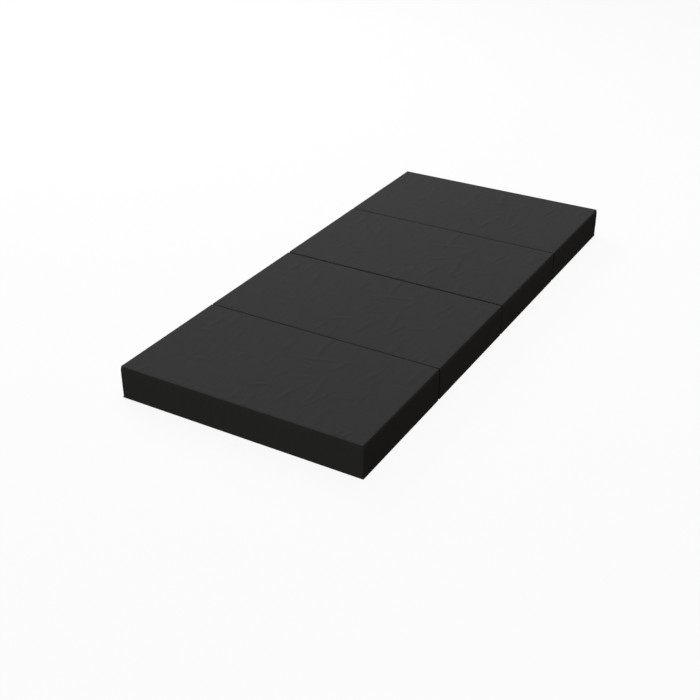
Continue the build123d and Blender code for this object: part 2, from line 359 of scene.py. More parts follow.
class Finish:
    """The nodes of one material or of the world."""

    def __init__(self, tree):
        self.tree = tree
        self.tree.nodes.clear()

    def node(self, kind, settings=None, sockets=None, output=0):
        """Add a node, set it up, give its sockets values or links, and return one of its outputs."""
        made = self.tree.nodes.new(kind)
        for name, value in (settings or {}).items():
            setattr(made, name, value)
        for name, value in (sockets or {}).items():
            if isinstance(value, Field):
                self.tree.links.new(value.socket, made.inputs[name])
            else:
                made.inputs[name].default_value = value
        return Field(self, made.outputs[output]) if len(made.outputs) else None

    def mixed(self, share, first, second):
        """A colour between two others."""
        sockets = {0: share, 6: (*first, 1.0), 7: (*second, 1.0)}
        return self.node("ShaderNodeMix", {"data_type": "RGBA"}, sockets, output=2)

    def noise(self, place, scale, detail):
        """Soft random values from 0 to 1."""
        return self.node("ShaderNodeTexNoise", {}, {"Vector": place, "Scale": scale, "Detail": detail})

    def bumped(self, height, strength, distance):
        """Normals of a surface with small heights on it."""
        sockets = {"Height": height, "Strength": strength, "Distance": distance}
        return self.node("ShaderNodeBump", {}, sockets)

    def toned(self, share, colour, dark, light):
        """A colour between a darker and a lighter share of itself."""
        shades = [tuple(channel * level for channel in colour) for level in (dark, light)]
        return self.mixed(share, *shades)

    def position(self):
        """Places on the object, in metres."""
        return self.node("ShaderNodeTexCoord", {}, output="Object")

    def part(self, place, axis):
        """One coordinate of a place."""
        return self.node("ShaderNodeSeparateXYZ", {}, {0: place}, output=axis)

    def surface(self, sockets):
        """Close the material with a Principled shader whose sockets take these values or links."""
        self.output(self.node("ShaderNodeBsdfPrincipled", {}, sockets))

    def output(self, shader):
        """Close the material with a shader."""
        self.node("ShaderNodeOutputMaterial", {}, {"Surface": shader})


def new_finish(name):
    """An empty material and the finish that holds its nodes."""
    material = bpy.data.materials.new(name)
    material.use_nodes = True
    return material, Finish(material.node_tree)


def woven_cloth(name, colour, pitch):
    """Black woven cloth: crossing threads, soft mottling and a faint sheen."""
    material, finish = new_finish(name)
    place = finish.node("ShaderNodeAttribute", {"attribute_name": FLAT_PLACE}, output="Vector")
    turns = math.pi / pitch
    threads = abs((finish.part(place, "X") * turns).sine() * (finish.part(place, "Y") * turns).sine())
    drawn = finish.node("ShaderNodeVectorMath", {"operation": "MULTIPLY"}, {0: place, 1: STREAK_SCALE})
    streaks = finish.noise(drawn, scale=1.0, detail=3.0)
    mottle = finish.noise(place, scale=14.0, detail=4.0)
    slubs = finish.noise(place, scale=320.0, detail=3.0)
    shade = (0.15 * mottle + 0.40 * streaks + 0.45 * slubs).at_most(1.0)
    relief = 0.6 * threads + 0.4 * slubs
    finish.surface({
        "Base Color": finish.toned(shade, colour, dark=0.84, light=1.16),
        "Roughness": 0.80 + 0.15 * slubs,
        "Specular IOR Level": 0.0,
        "Sheen Weight": CLOTH_SHEEN,
        "Sheen Roughness": 0.5,
        "Normal": finish.bumped(relief, strength=0.35, distance=THREAD_RELIEF * pitch),
    })
    return material


def woven_tape(name, colour):
    """Zip tape woven in a fine twill."""
    material, finish = new_finish(name)
    place = finish.position()
    slanted = finish.part(place, "Y") + finish.part(place, "Z")
    twill = (slanted * (2 * math.pi / TWILL_PITCH)).sine() * 0.5 + 0.5
    fuzz = finish.noise(place, scale=900.0, detail=2.0)
    finish.surface({
        "Base Color": finish.toned(0.5 * twill + 0.5 * fuzz, colour, dark=0.8, light=1.25),
        "Roughness": 0.72 + 0.18 * fuzz,
        "Specular IOR Level": 0.25,
        "Normal": finish.bumped(twill, strength=0.4, distance=0.0002),
    })
    return material


def nylon(name, colour):
    """Moulded black nylon with a soft gloss."""
    material, finish = new_finish(name)
    wear = finish.noise(finish.position(), scale=500.0, detail=2.0)
    finish.surface({
        "Base Color": finish.toned(wear, colour, dark=0.8, light=1.3),
        "Roughness": 0.30 + 0.2 * wear,
    })
    return material


def enamelled_metal(name, colour):
    """Black enamel on cast metal, rubbed duller in patches."""
    material, finish = new_finish(name)
    place = finish.position()
    patches = finish.noise(place, scale=260.0, detail=3.0)
    grain = finish.noise(place, scale=2600.0, detail=2.0)
    finish.surface({
        "Base Color": finish.toned(patches, colour, dark=0.8, light=1.5),
        "Roughness": 0.24 + 0.22 * patches,
        "Metallic": 0.35,
        "Coat Weight": 0.4,
        "Normal": finish.bumped(grain, strength=0.15, distance=0.00005),
    })
    return material


def open_foam(name, colour):
    """Cut foam, with open cells all over."""
    material, finish = new_finish(name)
    place = finish.position()
    cells = finish.node("ShaderNodeTexVoronoi", {}, {"Vector": place, "Scale": 700.0})
    tone = finish.noise(place, scale=30.0, detail=3.0)
    finish.surface({
        "Base Color": finish.toned(0.5 * tone + 0.5 * cells, colour, dark=0.82, light=1.08),
        "Roughness": 0.90 + 0.08 * cells,
        "Specular IOR Level": 0.2,
        "Normal": finish.bumped(cells, strength=0.5, distance=0.0006),
    })
    return material


def fibre_wadding(name, colour):
    """Layered polyester fibre."""
    material, finish = new_finish(name)
    place = finish.position()
    tufts = finish.noise(place, scale=45.0, detail=5.0)
    fibres = finish.noise(place, scale=900.0, detail=3.0)
    finish.surface({
        "Base Color": finish.toned(tufts, colour, dark=0.88, light=1.06),
        "Roughness": 0.85 + 0.12 * fibres,
        "Specular IOR Level": 0.2,
        "Sheen Weight": 0.3,
        "Normal": finish.bumped(0.5 * tufts + 0.5 * fibres, strength=0.5, distance=0.0015),
    })
    return material


def grid_normals(points):
    """Outward directions of a grid of points."""
    normals = np.cross(np.gradient(points, axis=0), np.gradient(points, axis=1))
    return normals / np.linalg.norm(normals, axis=2, keepdims=True)


def grid_quads(rows, columns):
    """Faces between the neighbours of a grid of points."""
    number = np.arange(rows * columns).reshape(rows, columns)
    corners = (number[:-1, :-1], number[1:, :-1], number[1:, 1:], number[:-1, 1:])
    return np.stack(corners, axis=-1).reshape(-1, 4)


def two_sided_quads(rows, columns):
    """Faces of a closed form between two grids of points, with walls along their rims."""
    count = rows * columns
    number = np.arange(count).reshape(rows, columns)
    outer = grid_quads(rows, columns)
    rim = np.concatenate((number[:-1, 0], number[-1, :-1], number[:0:-1, -1], number[0, :0:-1]))
    following = np.roll(rim, -1)
    walls = np.stack((following, rim, rim + count, following + count), axis=-1)
    return np.concatenate((outer, outer[:, ::-1] + count, walls))


def new_piece(name, points, faces, material, places=None):
    """A smooth mesh object with one material and, for cloth, each point's place on the flat cloth."""
    mesh = bpy.data.meshes.new(name)
    mesh.from_pydata(np.asarray(points).reshape(-1, 3).tolist(), [], [list(face) for face in faces])
    mesh.polygons.foreach_set("use_smooth", [True] * len(mesh.polygons))
    if places is not None:
        attribute = mesh.attributes.new(FLAT_PLACE, "FLOAT_VECTOR", "POINT")
        attribute.data.foreach_set("vector", np.asarray(places, np.float32).ravel())
    if material is not None:
        mesh.materials.append(material)
    mesh.update()
    piece = bpy.data.objects.new(name, mesh)
    bpy.context.scene.collection.objects.link(piece)
    return piece


def cloth_piece(name, points, places, thickness, material):
    """A closed sheet of cloth behind a grid of points, and the size of its flat cut."""
    inner = points - thickness * grid_normals(points)
    rows, columns = points.shape[:2]
    piece = new_piece(
        name,
        np.concatenate((points.reshape(-1, 3), inner.reshape(-1, 3))),
        two_sided_quads(rows, columns).tolist(),
        material,
        np.concatenate((places.reshape(-1, 3), places.reshape(-1, 3))),
    )
    size = np.ptp(places.reshape(-1, 3), axis=0)
    return piece, (float(size[0]), float(size[1]))


def lengths_along(points):
    """Distance of each point of a line from its first point."""
    steps = np.linalg.norm(np.diff(points, axis=0), axis=1)
    return np.concatenate(([0.0], np.cumsum(steps)))


def eased(share):
    """A share from 0 to 1, slowed at both ends."""
    share = np.clip(share, 0.0, 1.0)
    return share * share * (3.0 - 2.0 * share)


def panel_rings(cover, roll):
    """Rim of a panel, ring by ring: distance from the corner's centre, drop below the face, cloth used."""
    flat = cover.corner_radius - roll
    rings = [(flat * step / FLAT_RINGS, 0.0) for step in range(FLAT_RINGS + 1)]
    for step in range(1, ROLL_RINGS + 1):
        turn = cover.roll_turn * step / ROLL_RINGS
        rings.append((flat + roll * math.sin(turn), roll * (1 - math.cos(turn))))
    reach, drop = rings[-1]
    for step in range(1, TUCK_RINGS + 1):
        rings.append((reach - cover.seam_tuck * step / TUCK_RINGS, drop))
    rings = np.array(rings)
    return rings[:, 0], rings[:, 1], lengths_along(rings)


def axis_lines(half, cell, rings):
    """Grid lines along one axis: where each starts, and the ring of the rim that it belongs to."""
    inner = np.linspace(-half, half, round(2 * half / cell) + 1)
    outer = np.arange(1, rings)
    start = np.concatenate((np.full(rings - 1, -half), inner, np.full(rings - 1, half)))
    ring = np.concatenate((-outer[::-1], np.zeros(len(inner), int), outer))
    return start, ring


def rounded_grid(half_x, half_y, cell, rings):
    """A grid with round corners: where each point starts, which way its rim goes, and its ring of the rim."""
    start_x, ring_x = axis_lines(half_x, cell, rings)
    start_y, ring_y = axis_lines(half_y, cell, rings)
    start = np.stack(np.meshgrid(start_x, start_y, indexing="ij"), axis=-1)
    ring_x, ring_y = np.meshgrid(ring_x, ring_y, indexing="ij")
    ring = np.maximum(abs(ring_x), abs(ring_y))
    turn = math.pi / 4 * np.minimum(abs(ring_x), abs(ring_y)) / np.maximum(ring, 1)
    first = abs(ring_x) >= abs(ring_y)
    along_x = np.sign(ring_x) * np.where(first, np.cos(turn), np.sin(turn))
    along_y = np.sign(ring_y) * np.where(first, np.sin(turn), np.cos(turn))
    return start, np.stack((along_x, along_y), axis=-1), ring


def panel_grid(cover, roll, cell):
    """A panel with a rolled rim and its face at height 0: its points and their places on the cloth."""
    reach, drop, used = (value[:, None] for value in panel_rings(cover, roll))
    inner_x = HALF_WIDTH - cover.corner_radius
    inner_y = HALF_LENGTH - cover.corner_radius
    start, outward, ring = rounded_grid(inner_x, inner_y, cell, len(reach))
    points = np.concatenate((start + reach[ring] * outward, -drop[ring]), axis=-1)
    places = np.concatenate((start + used[ring] * outward, np.zeros_like(drop[ring])), axis=-1)
    return points, places


def crease_line(stops):
    """Points along one crease, on a smooth curve through its stops."""
    stops = np.array(stops) / MM_PER_METRE
    share = np.linspace(0.0, 1.0, len(stops))
    fine = np.linspace(0.0, 1.0, CREASE_STEPS + 1)
    curve = [np.polyfit(share, stops[:, axis], len(stops) - 1) for axis in (0, 1)]
    return np.stack([np.polyval(terms, fine) for terms in curve], axis=-1)


def crease_heights(x, y, width):
    """Heights of all creases at points of a section, beside a plain crease."""
    heights = np.zeros_like(x)
    for steepness, breadth, *stops in CREASES:
        line = crease_line(stops)
        travelled = lengths_along(line)
        ridge = np.zeros_like(x)
        for start, end, before in zip(line[:-1], line[1:], travelled):
            run = end - start
            length = np.hypot(*run)
            share = np.clip(((x - start[0]) * run[0] + (y - start[1]) * run[1]) / length**2, 0.0, 1.0)
            away = np.hypot(x - start[0] - share * run[0], y - start[1] - share * run[1])
            along = (before + share * length) / travelled[-1]
            taper = np.sqrt(np.clip(np.sin(math.pi * along), 0.0, 1.0))
            ridge = np.maximum(ridge, taper * np.exp(-0.5 * (away / (breadth * width)) ** 2))
        heights = heights + steepness * breadth * ridge
    return heights


def pressed(points, held):
    """A grid of points after the filling has pressed the cloth outwards between its held points."""
    rows, columns = points.shape[:2]
    cloth = new_piece("pressed_cloth", points, grid_quads(rows, columns).tolist(), None)
    group = cloth.vertex_groups.new(name="held")
    group.add(np.flatnonzero(held.ravel()).tolist(), 1.0, "REPLACE")
    modifier = cloth.modifiers.new("press", "CLOTH")
    settings = modifier.settings
    settings.vertex_group_mass = "held"
    settings.tension_stiffness = CLOTH_STIFFNESS
    settings.compression_stiffness = CLOTH_STIFFNESS
    settings.bending_stiffness = CLOTH_BENDING
    settings.use_pressure = True
    settings.uniform_pressure_force = PRESS_FORCE
    settings.effector_weights.gravity = 0.0
    modifier.collision_settings.use_collision = False
    modifier.point_cache.frame_end = PRESS_FRAMES
    for number in range(1, PRESS_FRAMES + 1):
        bpy.context.scene.frame_set(number)
    shape = cloth.evaluated_get(bpy.context.evaluated_depsgraph_get()).data
    moved = np.empty(rows * columns * 3, np.float32)
    shape.vertices.foreach_get("co", moved)
    mesh = cloth.data
    bpy.data.objects.remove(cloth)
    bpy.data.meshes.remove(mesh)
    bpy.context.scene.frame_set(1)
    return moved.reshape(rows, columns, 3).astype(float)


def swollen_top(cover):
    """The top cover's points and their places on the cloth, creased and crowned over the filling."""
    points, places = panel_grid(cover, cover.top_roll, TOP_CELL)
    x, y = points[..., 0], points[..., 1]
    face_edge = np.minimum(HALF_WIDTH - abs(x), HALF_LENGTH - abs(y)) - cover.top_roll
    inside = eased(face_edge / cover.crease_margin)
    points[..., 2] += cover.crease_height * inside * crease_heights(x, y, cover.crease_width)
    held = points[..., 2] < -0.5 * cover.top_roll
    moves = pressed(points, held) - points
    far = np.linalg.norm(moves, axis=2, keepdims=True)
    capped = cover.crown * np.tanh(far / cover.crown)
    return points + moves * capped / np.maximum(far, LEAST_MOVE), places


def rim_drop(cover, roll):
    """How far the seam of a panel lies behind its face."""
    return roll * (1 - math.cos(cover.roll_turn))


def top_seam(cover):
    """Height of the seam between a border and its top panel."""
    return TOP_EDGE - rim_drop(cover, cover.top_roll)


def base_seam(cover):
    """Height of the seam between a border and its base panel."""
    return rim_drop(cover, cover.base_roll)


def hinged_above(seam):
    """Whether the hinge of a gap lies along the top edges."""
    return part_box(f"hinge_strip_{seam}")[0].z > ZIP_HEIGHT


def end_shifts(cover, section, side):
    """How far the top and the base seam at one end of a section, -1 or 1, are moved outwards."""
    seam = section if side > 0 else section - 1
    if seam not in SEAMS:
        return -cover.end_draw, cover.base_spread
    if hinged_above(seam):
        return cover.hinge_lean, 0.0
    return -cover.gap_draw, 0.0


def drawn_by_seams(points, cover, section):
    """Points of a section moved as its seams draw the cloth beside them."""
    drawn = points.copy()
    below_top = top_seam(cover) - points[..., 2]
    above_base = points[..., 2] - base_seam(cover)
    for side in (-1, 1):
        top_shift, base_shift = end_shifts(cover, section, side)
        pulls = (
            (0, HALF_WIDTH, -cover.side_draw, below_top / cover.top_shoulder),
            (1, HALF_LENGTH, top_shift, below_top / cover.top_shoulder),
            (0, HALF_WIDTH, cover.base_spread, above_base / cover.base_shoulder),
            (1, HALF_LENGTH, base_shift, above_base / cover.base_shoulder),
        )
        for axis, half, shift, away in pulls:
            near_edge = eased(1 - (half - side * points[..., axis]) / cover.draw_reach)
            near_seam = np.clip(1 - away, 0.0, 1.0) ** 2
            drawn[..., axis] += side * shift * near_edge * near_seam
    return drawn


def border_path(cover):
    """The border's line in plan, anticlockwise from end to end of the zip, with outward directions."""
    radius = cover.corner_radius
    inner_x = HALF_WIDTH - radius
    inner_y = HALF_LENGTH - radius
    eases = [cover.corner_shoulder * step / SHOULDER_STEPS for step in range(1, SHOULDER_STEPS + 1)]
    join = Vector((HALF_WIDTH, HALF_LENGTH - cover.join_inset))
    lines = [(Vector((-HALF_WIDTH, -ZIP_END)), Vector((-1.0, 0.0)))]
    for side_x, side_y, start in ((-1, -1, 180), (1, -1, 270), (1, 1, 0), (-1, 1, 90)):
        centre = Vector((side_x * inner_x, side_y * inner_y))
        arc = []
        for step in range(CORNER_STEPS + 1):
            turn = math.radians(start + 90 * step / CORNER_STEPS)
            outward = Vector((math.cos(turn), math.sin(turn)))
            arc.append((centre + radius * outward, outward))
        (first, arriving), (last, leaving) = arc[0], arc[-1]
        along_right_wall = arriving.x > 0.5
        if along_right_wall:
            for step in range(-SHOULDER_STEPS, SHOULDER_STEPS + 1):
                lines.append((join + cover.join_shoulder * step / SHOULDER_STEPS * leaving, arriving))
        lines += [(first - ease * leaving, arriving) for ease in reversed(eases)]
        lines += arc
        lines += [(last - ease * arriving, leaving) for ease in eases]
    lines.append((Vector((-HALF_WIDTH, ZIP_END)), Vector((-1.0, 0.0))))
    return finer_path(lines)


def zip_path():
    """The line of the zip strips in plan, anticlockwise, with outward directions."""
    outward = Vector((-1.0, 0.0))
    ends = [Vector((-HALF_WIDTH, ZIP_END)), Vector((-HALF_WIDTH, -ZIP_END))]
    return finer_path([(end, outward) for end in ends])


def finer_path(lines):
    """A path with its straight stretches cut into short steps, as arrays of places and outward directions."""
    places = [lines[0][0]]
    outwards = [lines[0][1]]
    for (start, first), (end, second) in zip(lines[:-1], lines[1:]):
        steps = max(1, round((end - start).length / WALL_CELL))
        for step in range(1, steps + 1):
            places.append(start.lerp(end, step / steps))
            outwards.append(first.lerp(second, step / steps).normalized())
    return np.array(places), np.array(outwards)


def seam_profile(cover, level, shoulder):
    """A border's edge at a seam, from the tuck outwards, as offsets and heights. Its shoulder has a sign."""
    heights = level + shoulder * np.linspace(0.0, 1.0, SHOULDER_STEPS) ** 2
    return [(-cover.seam_tuck, level)] + [(0.0, height) for height in heights]


def hem_profile(cover, edge, inward):
    """A strip's folded edge at the zip's slot, from behind it outwards, as offsets and heights."""
    fold = cover.thickness
    turns = np.linspace(0.0, math.pi / 2, HEM_STEPS + 1)
    return [(-fold * (1 - math.sin(turn)), edge + inward * fold * (1 - math.cos(turn))) for turn in turns]


def wall_profile(cover, base, top):
    """A wall's offsets and heights from its base edge up, swollen between the two edges."""
    low = base[-1][1]
    high = top[-1][1]
    steps = max(2, round((high - low) / WALL_CELL))
    middle = [(0.0, height) for height in np.linspace(low, high, steps + 1)[1:-1]]
    profile = np.array(base + middle + top[::-1])
    half = TOP_EDGE / 2
    profile[:, 0] += cover.belly * (1 - ((profile[:, 1] - half) / half) ** 2)
    return profile


def wall_grid(cover, path, profile):
    """A sheet of cloth along a path, drawn in at its upright seams: points and places on the cloth."""
    places, outwards = path
    corner = np.hypot(HALF_WIDTH - abs(places[:, 0]), HALF_LENGTH - abs(places[:, 1]))
    tip = (math.sqrt(2) - 1) * cover.corner_radius
    drawn = cover.corner_draw * (1 - np.clip((corner - tip) / cover.corner_shoulder, 0.0, 1.0)) ** 2
    join = np.hypot(HALF_WIDTH - places[:, 0], HALF_LENGTH - cover.join_inset - places[:, 1])
    drawn += cover.join_draw * (1 - np.clip(join / cover.join_shoulder, 0.0, 1.0)) ** 2
    offset = profile[None, :, 0] - drawn[:, None]
    plan = places[:, None, :] + outwards[:, None, :] * offset[..., None]
    height = np.broadcast_to(profile[None, :, 1], offset.shape)
    points = np.concatenate((plan, height[..., None]), axis=-1)
    along, across = np.meshgrid(lengths_along(places), lengths_along(profile), indexing="ij")
    return points, np.stack((along, across, np.zeros_like(along)), axis=-1)


def sewn_in(piece, section, node):
    """Let a piece of a section's cover ride on the section and stand for a node."""
    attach(piece, f"section_{section}")
    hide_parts(f"{node}_{section}")


def sew_panels(name, node, points, places, cover, material):
    """Sew one panel of every section's cover, from its points and their places on the cloth."""
    for section in SECTIONS:
        shape = drawn_by_seams(points, cover, section) + np.array((0.0, middle_of(section), 0.0))
        piece, flat = cloth_piece(f"{name}_{section}", shape, places, cover.thickness, material)
        sewn_in(piece, section, node)


class FUTON_OT_top_covers(bpy.types.Operator):
    """Sew the creased top cover of each section"""

    bl_idname = "futon.top_covers"
    bl_label = "Top covers"

    def execute(self, context):
        cover = context.scene.futon_cover
        material = woven_cloth("cover_cloth", cover.cloth_colour, cover.weave_pitch)
        points, places = swollen_top(cover)
        points[..., 2] += TOP_EDGE
        sew_panels("top_cover", "top_panel", points, places, cover, material)
        return {"FINISHED"}


class FUTON_OT_base_covers(bpy.types.Operator):
    """Sew the flat base cover of each section"""

    bl_idname = "futon.base_covers"
    bl_label = "Base covers"

    def execute(self, context):
        cover = context.scene.futon_cover
        material = woven_cloth("base_cloth", cover.cloth_colour, cover.weave_pitch)
        points, places = panel_grid(cover, cover.base_roll, BASE_CELL)
        points[..., 2] *= -1.0
        sew_panels("base_cover", "base_panel", points[::-1], places[::-1], cover, material)
        return {"FINISHED"}


class FUTON_OT_borders(bpy.types.Operator):
    """Sew the upright border and the two zip strips of each section"""

    bl_idname = "futon.borders"
    bl_label = "Borders"

    def execute(self, context):
        cover = context.scene.futon_cover
        material = woven_cloth("border_cloth", cover.border_colour, cover.weave_pitch)
        base = seam_profile(cover, base_seam(cover) + cover.seam_opening, cover.base_shoulder)
        top = seam_profile(cover, top_seam(cover) - cover.seam_opening, -cover.top_shoulder)
        walls = (
            ("border", "border_band", border_path(cover), base, top),
            ("zip_strip_top", "zip_strip_upper", zip_path(), hem_profile(cover, SLOT_TOP, 1), top),
            ("zip_strip_base", "zip_strip_lower", zip_path(), base, hem_profile(cover, SLOT_BASE, -1)),
        )
        for name, node, path, low, high in walls:
            points, places = wall_grid(cover, path, wall_profile(cover, low, high))
            sew_panels(name, node, points, places, cover, material)
        return {"FINISHED"}


class FUTON_OT_filling(bpy.types.Operator):
    """Cut the foam block of each section and wrap it in wadding"""

    bl_idname = "futon.filling"
    bl_label = "Filling"

    def execute(self, context):
        filling = context.scene.futon_filling
        cover = context.scene.futon_cover
        foam = open_foam("foam", filling.foam_colour)
        fibre = fibre_wadding("wadding", filling.wadding_colour)
        for section in SECTIONS:
            low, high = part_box(f"foam_core_{section}")
            core = foam_block(f"foam_block_{section}", low, high, filling, foam)
            sewn_in(core, section, "foam_core")
            outer_low, outer_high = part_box(f"wadding_wrap_{section}")
            outer_high.z = TOP_EDGE - cover.thickness - filling.slack
            wrap = wadding_sleeve(f"wadding_{section}", (outer_low, outer_high), (low, high), filling, fibre)
            sewn_in(wrap, section, "wadding_wrap")
        return {"FINISHED"}


def rounded_loop(half, low, high, radius):
    """An upright rounded outline, as offsets from its middle and heights."""
    corners = ((half, low, 270), (half, high, 0), (-half, high, 90), (-half, low, 180))
    loop = []
    for side, level, start in corners:
        centre_y = side - math.copysign(radius, side)
        centre_z = level + radius if level == low else level - radius
        for step in range(CORNER_STEPS + 1):
            turn = math.radians(start + 90 * step / CORNER_STEPS)
            loop.append((centre_y + radius * math.cos(turn), centre_z + radius * math.sin(turn)))
        if (level == high) == (side > 0):
            shares = np.linspace(WADDING_FLAT, -WADDING_FLAT, WADDING_STEPS + 1)
            loop += [(share * centre_y, level) for share in shares]
    return np.array(loop)


def foam_block(name, low, high, filling, material):
    """A cut block of foam with slightly eased edges and corners."""
    middle = (low + high) / 2
    half = (high - low) / 2
    edge = filling.foam_edge
    corner = filling.foam_corner
    rings = np.array([(0.0, 0.0)] + [
        (corner - edge + edge * math.sin(turn), edge * (1 - math.cos(turn)))
        for turn in np.linspace(0.0, math.pi / 2, FOAM_EDGE_STEPS + 1)
    ])
    start, outward, ring = rounded_grid(half.x - corner, half.y - corner, FILLING_CELL, len(rings))
    reach = rings[ring, :1]
    drop = rings[ring, 1:]
    plan = np.array(middle.xy) + start + reach * outward
    upper = np.concatenate((plan, high.z - drop), axis=-1)
    lower = np.concatenate((plan, low.z + drop), axis=-1)
    points = np.concatenate((upper.reshape(-1, 3), lower.reshape(-1, 3)))
    return new_piece(name, points, two_sided_quads(*upper.shape[:2]).tolist(), material)


def wadding_sleeve(name, outer, inner, filling, material):
    """A soft sleeve round a foam block, open at both sides."""
    middle = (outer[0] + outer[1]) / 2
    half_x = outer[1].x - filling.slack
    half_y = (outer[1].y - outer[0].y) / 2 - filling.slack
    core_half = (inner[1].y - inner[0].y) / 2 + filling.clearance
    core_low = inner[0].z - filling.clearance
    core_high = inner[1].z + filling.clearance
    straight = half_x - filling.wadding_corner
    turns = np.linspace(0.0, math.pi / 2, CORNER_STEPS + 1)
    bends = straight + filling.wadding_corner * np.sin(turns)
    rows = np.concatenate((-bends[:0:-1], np.arange(-straight, straight, FILLING_CELL), bends))
    sheets = ([], [])
    for x in rows:
        past = max(0.0, abs(x) - straight)
        rounding = filling.wadding_corner - math.sqrt(filling.wadding_corner**2 - past**2)
        around = rounded_loop(half_y - rounding, outer[0].z, outer[1].z, filling.wadding_edge)
        within = rounded_loop(core_half, core_low, core_high, filling.foam_edge)
        for sheet, loop in zip(sheets, (around, within)):
            sheet.append([(x, middle.y + y, z) for y, z in loop])
    points = np.array(sheets)
    count = len(rows) * points.shape[2]
    number = np.arange(count).reshape(len(rows), -1)
    beside = np.roll(number, -1, axis=1)
    skin = np.stack((number[:-1], number[1:], beside[1:], beside[:-1]), axis=-1).reshape(-1, 4)
    first = np.stack((number[0], beside[0], beside[0] + count, number[0] + count), axis=-1)
    last = np.stack((beside[-1], number[-1], number[-1] + count, beside[-1] + count), axis=-1)
    faces = np.concatenate((skin[:, ::-1], skin + count, first[:, ::-1], last[:, ::-1]))
    return new_piece(name, points, faces.tolist(), material)


class FUTON_OT_hinges(bpy.types.Operator):
    """Fold the cloth hinges into the gaps between the sections"""

    bl_idname = "futon.hinges"
    bl_label = "Cloth hinges"

    def execute(self, context):
        cover = context.scene.futon_cover
        material = woven_cloth("hinge_cloth", cover.border_colour, cover.weave_pitch)
        for seam in SEAMS:
            low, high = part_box(f"hinge_strip_{seam}")
            half = (high.y - low.y) / 2
            mouth = base_seam(cover) + cover.seam_opening
            if hinged_above(seam):
                half -= cover.hinge_lean
                mouth = top_seam(cover) - cover.seam_opening
            points, places = hinge_grid(low, high, half, mouth)
            name = f"hinge_cloth_{seam}"
            piece, flat = cloth_piece(name, points, places, cover.thickness, material)
            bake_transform(piece)
            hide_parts(f"hinge_strip_{seam}")
        return {"FINISHED"}


def hinge_grid(low, high, radius, mouth):
    """A strip folded into a trough that opens to the nearer face: points and places on the cloth."""
    up = 1.0 if low.z > ZIP_HEIGHT else -1.0
    middle = (low.y + high.y) / 2
    depth = high.z - low.z - radius
    line = [(-radius, mouth), (-radius, mouth - up * depth / 2)]
    for turn in np.linspace(0.0, math.pi, HINGE_STEPS + 1):
        line.append((-radius * math.cos(turn), mouth - up * (depth + radius * math.sin(turn))))
    line += [(radius, mouth - up * depth / 2), (radius, mouth)]
    line = np.array(line)
    rows = np.linspace(low.x, high.x, round((high.x - low.x) / HINGE_CELL) + 1)
    across, along = np.meshgrid(lengths_along(line), rows, indexing="ij")
    y = np.broadcast_to(middle + line[:, None, 0], across.shape)
    z = np.broadcast_to(line[:, None, 1], across.shape)
    points = np.stack((along, y, z), axis=-1)
    places = np.stack((across, along, np.zeros_like(along)), axis=-1)
    if up < 0:
        return points[::-1], places[::-1]
    return points, places


class FUTON_OT_zips(bpy.types.Operator):
    """Wind the zip coils, sew the stitches and finish the tapes, stops, sliders and pulls"""

    bl_idname = "futon.zips"
    bl_label = "Zips"

    def execute(self, context):
        zips = context.scene.futon_zip
        cover = context.scene.futon_cover
        coil_finish = nylon("zip_coil", zips.coil_colour)
        metal_finish = enamelled_metal("zip_metal", zips.metal_colour)
        thread_finish = nylon("sewing_thread", zips.thread_colour)
        tape_finish = woven_tape("zip_tape", zips.tape_colour)
        for section in SECTIONS:
            coils = zip_coils(f"coils_{section}", section, zips, coil_finish)
            sewn_in(coils, section, "zip_coils")
            stitches = zip_stitches(f"zip_stitches_{section}", section, zips, cover, thread_finish)
            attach(stitches, f"section_{section}")
            for node in ("zip_stops", "zip_slider", "zip_pull"):
                dress(f"{node}_{section}", metal_finish)
            dress(f"zip_tapes_{section}", tape_finish)
        return {"FINISHED"}


def dress(node, material):
    """Give a node of the frame a finish of its own."""
    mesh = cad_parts[node].data
    mesh.materials.clear()
    mesh.materials.append(material)


def tube_points(line, radii, sides):
    """Rings of points round a line, each as wide as its radius."""
    ahead = np.gradient(line, axis=0)
    ahead = ahead / np.linalg.norm(ahead, axis=1, keepdims=True)
    side = np.cross(ahead, TUBE_GUIDE)
    side = side / np.linalg.norm(side, axis=1, keepdims=True)
    other = np.cross(ahead, side)
    turns = 2 * math.pi * np.arange(sides) / sides
    ring = side[:, None, :] * np.cos(turns)[None, :, None] + other[:, None, :] * np.sin(turns)[None, :, None]
    return line[:, None, :] + np.asarray(radii)[:, None, None] * ring


def tube_faces(rings, sides, first=0):
    """Faces of a closed tube whose points are numbered from a first one."""
    number = first + np.arange(rings * sides).reshape(rings, sides)
    beside = np.roll(number, -1, axis=1)
    skin = np.stack((number[:-1], beside[:-1], beside[1:], number[1:]), axis=-1).reshape(-1, 4).tolist()
    return skin + [number[0, ::-1].tolist(), number[-1].tolist()]


def joined_tubes(lines, radii, sides):
    """Points and faces of many tubes in one mesh."""
    points = []
    faces = []
    count = 0
    for line in lines:
        rings = tube_points(line, radii, sides)
        points.append(rings.reshape(-1, 3))
        faces += tube_faces(len(line), sides, count)
        count += len(line) * sides
    return np.concatenate(points), faces


